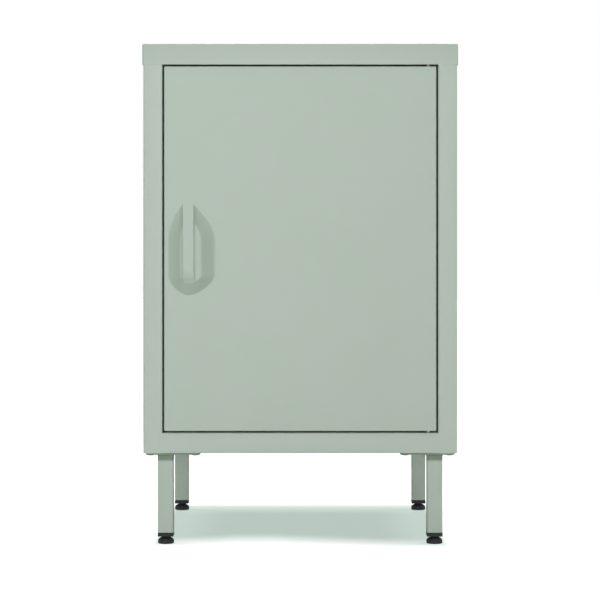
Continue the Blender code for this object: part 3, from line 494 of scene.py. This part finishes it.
def makeSeams():
    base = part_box("bottom_panel")[0].z
    railTop = doorLow.z - seam["gap"]
    opening = doorHigh.x + seam["gap"]
    for name, side in (("left", -1), ("right", 1)):
        bm = bmesh.new()
        across = (side * (opening - seam["tuck"]), side * (opening + seam["lap"]))
        rings = [[(x, front + y, z) for x, y in ((across[0], seam["below"]), (across[1], seam["below"]),
                                                 (across[1], seam["depth"]), (across[0], seam["depth"]))]
                 for z in (base + seam["short"], railTop - seam["short"])]
        joinRings(bm, rings)
        bmesh.ops.bevel(bm, geom=bm.edges[:], offset=seam["ease"], segments=2, profile=0.5, affect="EDGES")
        mesh = finishMesh(bm, "rail_weld_" + name)
        addPiece("rail_weld_" + name, mesh, green, "cabinet", [])


makeSeams()
print("rail ends dressed")


leg = {"side": 19.0 * mm, "tubeRadius": 1.8 * mm, "plateRadius": 4.0 * mm, "plateThick": 3.0 * mm,
       "clearOfTube": 1.5 * mm, "clearOfBolt": 4.0 * mm, "longEdge": 50.0 * mm, "shortEdge": 10.0 * mm,
       "weld": 2.4 * mm, "weldSeat": 1.6 * mm, "ripple": 0.25 * mm, "ripples": 26, "cornerSteps": 23,
       "near": 0.1 * mm, "same": 0.01 * mm}
foot = {"padRadius": 9.75 * mm, "padHeight": 8.0 * mm, "studRadius": 4.0 * mm, "pitch": 1.25 * mm,
        "threadDepth": 0.7 * mm, "levels": 7, "steepness": 1.25, "holeGap": 0.3 * mm, "holeFrom": 1.5 * mm,
        "lipWidth": 0.3 * mm, "lipDrop": 0.2 * mm, "neckWidth": 1.2 * mm, "neckDrop": 0.35 * mm,
        "shoulder": 6.9 * mm}
# the pad's rim and dome, as how far in from the rim and how high
padEdge = ((1.3, 0), (0.6, 0.12), (0.15, 0.5), (0, 1.1), (0, 3.9), (0.15, 4.5), (0.6, 5.2), (1.7, 6.3))


def centreOf(node):
    low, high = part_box(node)
    return (low + high) / 2


def makeLegs():
    for corner in corners:
        centre = centreOf("leg_plug_" + corner)
        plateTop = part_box("leg_" + corner)[1].z
        half = leg["side"] / 2

        def upright(a, b):
            return (a.xy - b.xy).length < leg["same"]

        def onTube(a, b):
            return upright(a, b) and abs(a.z - b.z) > leg["longEdge"] and all(
                abs(abs(p - q) - half) < leg["near"] for p, q in zip(a.xy, centre.xy))

        def nearBolt(point):
            return any((point.xy - centreOf(f"leg_bolt_{corner}_{spot}").xy).length < leg["clearOfBolt"]
                       for spot in ("corner", "first", "second"))

        def onPlate(a, b):
            away = max(abs(a.x - centre.x), abs(a.y - centre.y))
            return (upright(a, b) and abs(a.z - b.z) < leg["shortEdge"]
                    and min(a.z, b.z) > plateTop - leg["plateThick"]
                    and away > half + leg["clearOfTube"] and not nearBolt(a))

        rounds = ((leg["tubeRadius"], onTube), (leg["plateRadius"], onPlate))
        eased("leg_" + corner, rounds=rounds, look=legGreenTopShade)


def makeWelds():
    # a bead in the corner between tube and plate, rippled along its run
    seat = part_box("leg_front_left")[1].z - leg["weldSeat"]
    bm = bmesh.new()
    rings = []
    # reach out over the plate and drop down the tube, as shares of the bead
    for reach, drop in ((0.0, 1.0), (0.45, 0.35), (1.0, 0.0), (0.0, 0.0)):
        reach, drop = reach * leg["weld"], drop * leg["weld"]
        out = leg["side"] / 2 + reach
        outline = roundedRing(out, out, leg["tubeRadius"] + reach, leg["cornerSteps"])
        ring = []
        for i, (u, v) in enumerate(outline):
            ripple = leg["ripple"] * math.sin(2 * math.pi * leg["ripples"] * i / len(outline)) if drop else 0
            ring.append((u, v, seat - max(drop + ripple, 0)))
        rings.append(ring)
    joinRings(bm, rings + rings[:1], capStart=False, capEnd=False)
    bmesh.ops.remove_doubles(bm, verts=bm.verts, dist=easing["weld"])
    mesh = finishMesh(bm, "leg_weld", sharpAngle=60)
    for corner in corners:
        centre = centreOf("leg_plug_" + corner)
        at = (centre.x, centre.y, 0)
        addPiece("leg_weld_" + corner, mesh, legGreenTopShade, "cabinet", [], at)


def threadMesh(name, radius, low, high, pitch, depth, sides=28):
    # one start of thread: the radius falls and rises once for each pitch along the stud
    bm = bmesh.new()
    levels = int((high - low) / pitch * foot["levels"])
    rings = []
    for level in range(levels + 1):
        z = low + (high - low) * level / levels
        ends = min(1.0, (z - low) / pitch, (high - z) / pitch)
        ring = []
        for i in range(sides):
            phase = (z / pitch - i / sides) % 1
            groove = depth * ends * min(1.0, foot["steepness"] * abs(2 * phase - 1))
            r = radius - groove - depth / 2 * (1 - ends)
            turn = 2 * math.pi * i / sides
            ring.append((r * math.cos(turn), r * math.sin(turn), z))
        rings.append(ring)
    joinRings(bm, rings)
    return finishMesh(bm, name, sharpAngle=50)


def makeFeet():
    top = foot["padHeight"]
    r = foot["padRadius"]
    hole = foot["studRadius"] + foot["holeGap"]
    profile = [(r - inwards * mm, height * mm) for inwards, height in padEdge]
    profile += [((r + hole) / 2, foot["shoulder"]), (hole + foot["neckWidth"], top - foot["neckDrop"]),
                (hole + foot["lipWidth"], top), (hole, top - foot["lipDrop"]), (hole, foot["holeFrom"])]
    pad = lathe("foot_pad", profile, sides=56, sharpAngle=30)
    low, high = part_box("foot_stud_front_left")
    stud = threadMesh("foot_stud", foot["studRadius"], low.z, high.z, foot["pitch"], foot["threadDepth"])
    for corner in corners:
        centre = centreOf("foot_pad_" + corner)
        at = (centre.x, centre.y, 0)
        for name, mesh, node in (("foot_pad_turned_", pad, "foot_pad_"),
                                 ("foot_stud_cut_", stud, "foot_stud_")):
            addPiece(name + corner, mesh, nylon, "foot_" + corner, [node + corner], at)


makeLegs()
makeWelds()
makeFeet()
print("legs and feet made")


bolt = {"headRadius": 4.5 * mm, "shankRadius": 2.5 * mm, "headHeight": 1.0 * mm, "length": 9.0 * mm,
        "rim": 0.3 * mm, "recess": 2.4 * mm, "slot": 0.9 * mm}
screw = {"headRadius": 4.0 * mm, "shankRadius": 1.8 * mm, "headHeight": 0.9 * mm, "length": 7.0 * mm,
         "rim": 0.25 * mm, "recess": 2.0 * mm, "slot": 0.8 * mm}
# what bolts and screws share
fastener = {"pitch": 0.8 * mm, "depth": 0.35 * mm, "tip": 0.6 * mm, "neck": 1.0 * mm, "crest": 0.1 * mm,
            "root": 0.45 * mm, "tipShare": 0.75, "headEdge": 0.1 * mm, "headEdgeRise": 0.12 * mm}
cross = {"depth": 0.75 * mm, "over": 0.1 * mm, "reachShare": 0.95, "taper": 0.6}


def crossCutter(reach, width, low, high):
    # a tapered cross, wider at its mouth, which is at high
    bm = bmesh.new()
    outline = []
    for quarter in range(4):
        for u, v in ((reach, -width / 2), (reach, width / 2), (width / 2, width / 2)):
            outline.append(Matrix.Rotation(quarter * math.pi / 2, 2) @ Vector((u, v)))
    joinRings(bm, [[(p.x * scale, p.y * scale, z) for p in outline]
                   for scale, z in ((cross["taper"], low), (1.0, high))])
    return finishMesh(bm, "cross")


def headedMesh(name, size):
    # head upwards at z 0 and above, shank below; the thread is drawn as rings under a plain neck
    head, shank, tall, rim = size["headRadius"], size["shankRadius"], size["headHeight"], size["rim"]
    pitch = fastener["pitch"]
    start = -size["length"] + fastener["tip"]
    profile = [(shank * fastener["tipShare"], -size["length"]), (shank, start)]
    for i in range(int((size["length"] - fastener["tip"] - fastener["neck"]) / pitch)):
        z = start + pitch * i
        profile += [(shank, z + fastener["crest"]), (shank - fastener["depth"], z + fastener["root"]),
                    (shank, z + pitch)]
    profile += [(shank, 0), (head - fastener["headEdge"], 0), (head, fastener["headEdgeRise"]), (head, rim)]
    for angle in evenly(math.pi / 2, 6)[1:]:
        profile.append((size["recess"] + (head - size["recess"]) * math.cos(angle),
                        rim + (tall - rim) * math.sin(angle)))
    tool = crossCutter(size["recess"] * cross["reachShare"], size["slot"], tall - cross["depth"],
                       tall + cross["over"])
    cut = carve(lathe(name, profile, sharpAngle=30), [tool], "DIFFERENCE")
    cut.name = name
    cut.shade_smooth()
    cut.set_sharp_from_angle(angle=math.radians(30))
    return cut


def makeFasteners():
    boltMesh = headedMesh("leg_bolt", bolt)
    boltMesh.transform(Matrix.Rotation(math.pi, 4, "X"))
    screwMesh = headedMesh("back_screw", screw)
    screwMesh.transform(Matrix.Rotation(-math.pi / 2, 4, "X"))
    for node in sorted(frame["nodes"]):
        low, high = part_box(node)
        centre = (low + high) / 2
        if node.startswith("leg_bolt_"):
            at = (centre.x, centre.y, low.z + bolt["headHeight"])
            addPiece(node + "_domed", boltMesh, zinc, "cabinet", [node], at)
        if node.startswith("back_screw_"):
            at = (centre.x, high.y - screw["headHeight"], centre.z)
            addPiece(node + "_domed", screwMesh, zinc, "cabinet", [node], at)


makeFasteners()
print("bolts and screws made")


# the paper shows pure white but under the locker, where a shadow is painted: a darker paper colour, and a
# grey-green tone seen by the camera
studio = {"floorSize": 30.0, "floor": "#E1E1DF", "shaded": "#858A87", "under": "#B0BFB7", "sky": 0.08,
          "paperRoughness": 0.9, "paperSheen": 0.1}
# where that painted shade fades, in metres: each pair runs from full shade to none. The front edge comes
# nearer to the camera towards the legs, by bulge for each metre past from
footprint = {"side": (0.168, 0.186), "front": (-0.062, -0.200), "back": (0.188, 0.266),
             "rightFrom": -0.03, "rightBulge": 0.30, "leftFrom": -0.08, "leftBulge": -0.50}
# place, aim, width and height in metres, watts, and spread in degrees. The last three light what the
# photograph doesn't show, and stand behind the front to keep off it
lamps = {"front softbox": ((-0.12, -3.4, 0.33), (-0.95, 0, 1.9), (0.9, 0.8), 22.6, 104),
         "low strip": ((-0.12, -2.6, 0.28), (-0.95, 0, 1.25), (4.4, 0.56), 9.0, 104),
         "overhead softbox": ((0, -0.45, 2.6), (0, 0, 0.3), (1.0, 1.2), 2.5, 104),
         "left softbox": ((-1.4, 0.4, 2.3), (0, 0.1, 0.3), (0.8, 0.8), 4.0, 70),
         "right softbox": ((1.4, 0.4, 2.3), (0, 0.1, 0.3), (0.8, 0.8), 4.0, 70),
         "back softbox": ((0, 1.3, 2.5), (0, 0.1, 0.4), (0.9, 0.7), 5.0, 70)}
lens = {"distance": 2.37, "height": 0.342, "focal": 118.3, "sensor": 36, "shift": (-0.0003, -0.0639)}


def makeFloor():
    size = studio["floorSize"] / 2
    mesh = bpy.data.meshes.new("floor")
    outline = [(-size, -size, 0), (size, -size, 0), (size, size, 0), (-size, size, 0)]
    mesh.from_pydata(outline, [], [(0, 1, 2, 3)])
    floor = bpy.data.objects.new("floor", mesh)
    bpy.context.scene.collection.objects.link(floor)
    material, tree, shader, place = startMaterial("white seamless paper", Roughness=studio["paperRoughness"])
    shader.inputs["Specular IOR Level"].default_value = studio["paperSheen"]
    where = addNode(tree, "SeparateXYZ", inputs={0: place})
    across, along = where.outputs["X"], where.outputs["Y"]
    aside = addNode(tree, "Math", {"operation": "ABSOLUTE"}, {0: across}).outputs[0]
    bulged = along
    for side, choose in (("right", "MAXIMUM"), ("left", "MINIMUM")):
        beyond = addNode(tree, "Math", {"operation": "SUBTRACT"}, {0: across, 1: footprint[side + "From"]})
        past = addNode(tree, "Math", {"operation": choose}, {0: beyond.outputs[0], 1: 0.0})
        bulged = addNode(tree, "Math", {"operation": "MULTIPLY_ADD"}, {
            0: past.outputs[0], 1: footprint[side + "Bulge"], 2: bulged}).outputs[0]
    outside = 0.0
    for edge, reach in (("side", aside), ("front", bulged), ("back", along)):
        faded = addNode(tree, "MapRange", {"interpolation_type": "SMOOTHSTEP"}, {
            "Value": reach, "From Min": footprint[edge][0], "From Max": footprint[edge][1]})
        outside = addNode(tree, "Math", {"operation": "MAXIMUM"}, {
            0: outside, 1: faded.outputs[0]}).outputs[0]
    # painted shade: the paper's own colour is darker under the locker
    paper = addNode(tree, "Mix", {"data_type": "RGBA"}, {
        0: outside, 6: toLinear(studio["shaded"]), 7: toLinear(studio["floor"])})
    tree.links.new(paper.outputs[2], shader.inputs["Base Color"])
    # it looks white to the camera and still takes the locker's shadow; under the locker the camera sees a
    # painted grey-green shadow tone in place of white
    rays = addNode(tree, "LightPath")
    seen = addNode(tree, "Math", {"operation": "MAXIMUM"}, {
        0: rays.outputs["Is Camera Ray"], 1: rays.outputs["Is Glossy Ray"]})
    tone = addNode(tree, "Mix", {"data_type": "RGBA"}, {
        0: outside, 6: toLinear(studio["under"]), 7: toLinear("#FFFFFF")})
    glow = addNode(tree, "Emission", inputs={"Color": tone.outputs[2], "Strength": seen.outputs[0]})
    both = addNode(tree, "AddShader", inputs={0: shader.outputs[0], 1: glow.outputs[0]})
    tree.links.new(both.outputs[0], tree.nodes["Material Output"].inputs["Surface"])
    mesh.materials.append(material)


def makeWorld():
    world = bpy.data.worlds.new("studio")
    bpy.context.scene.world = world
    world.use_nodes = True
    tree = world.node_tree
    rays = addNode(tree, "LightPath")
    seen = addNode(tree, "Math", {"operation": "MAXIMUM"}, {
        0: rays.outputs["Is Camera Ray"], 1: rays.outputs["Is Glossy Ray"]})
    seen = addNode(tree, "Math", {"operation": "MAXIMUM"}, {
        0: seen.outputs[0], 1: rays.outputs["Is Transmission Ray"]})
    strength = addNode(tree, "MapRange", inputs={"Value": seen.outputs[0], "To Min": studio["sky"]})
    tree.nodes["Background"].inputs["Color"].default_value = (1, 1, 1, 1)
    tree.links.new(strength.outputs[0], tree.nodes["Background"].inputs["Strength"])


def addLamp(name, at, aim, size, watts, spread):
    lamp = bpy.data.lights.new(name, "AREA")
    lamp.shape = "RECTANGLE"
    lamp.size, lamp.size_y = size
    lamp.energy = watts
    lamp.spread = math.radians(spread)
    holder = bpy.data.objects.new(name, lamp)
    bpy.context.scene.collection.objects.link(holder)
    holder.location = at
    holder.rotation_euler = (Vector(aim) - Vector(at)).to_track_quat("-Z", "Y").to_euler()
    holder.visible_camera = False  # a lamp never stands in the picture


def makeCamera():
    camera = bpy.data.cameras.new("camera")
    camera.lens = lens["focal"]
    camera.sensor_width = lens["sensor"]
    camera.shift_x, camera.shift_y = lens["shift"]
    holder = bpy.data.objects.new("camera", camera)
    bpy.context.scene.collection.objects.link(holder)
    holder.location = (0, front - lens["distance"], lens["height"])
    holder.rotation_euler = (math.pi / 2, 0, 0)
    bpy.context.scene.camera = holder


makeFloor()
makeWorld()
for name, setting in lamps.items():
    addLamp(name, *setting)
makeCamera()
bpy.context.scene.view_settings.view_transform = "Standard"
print("floor, light and camera set")
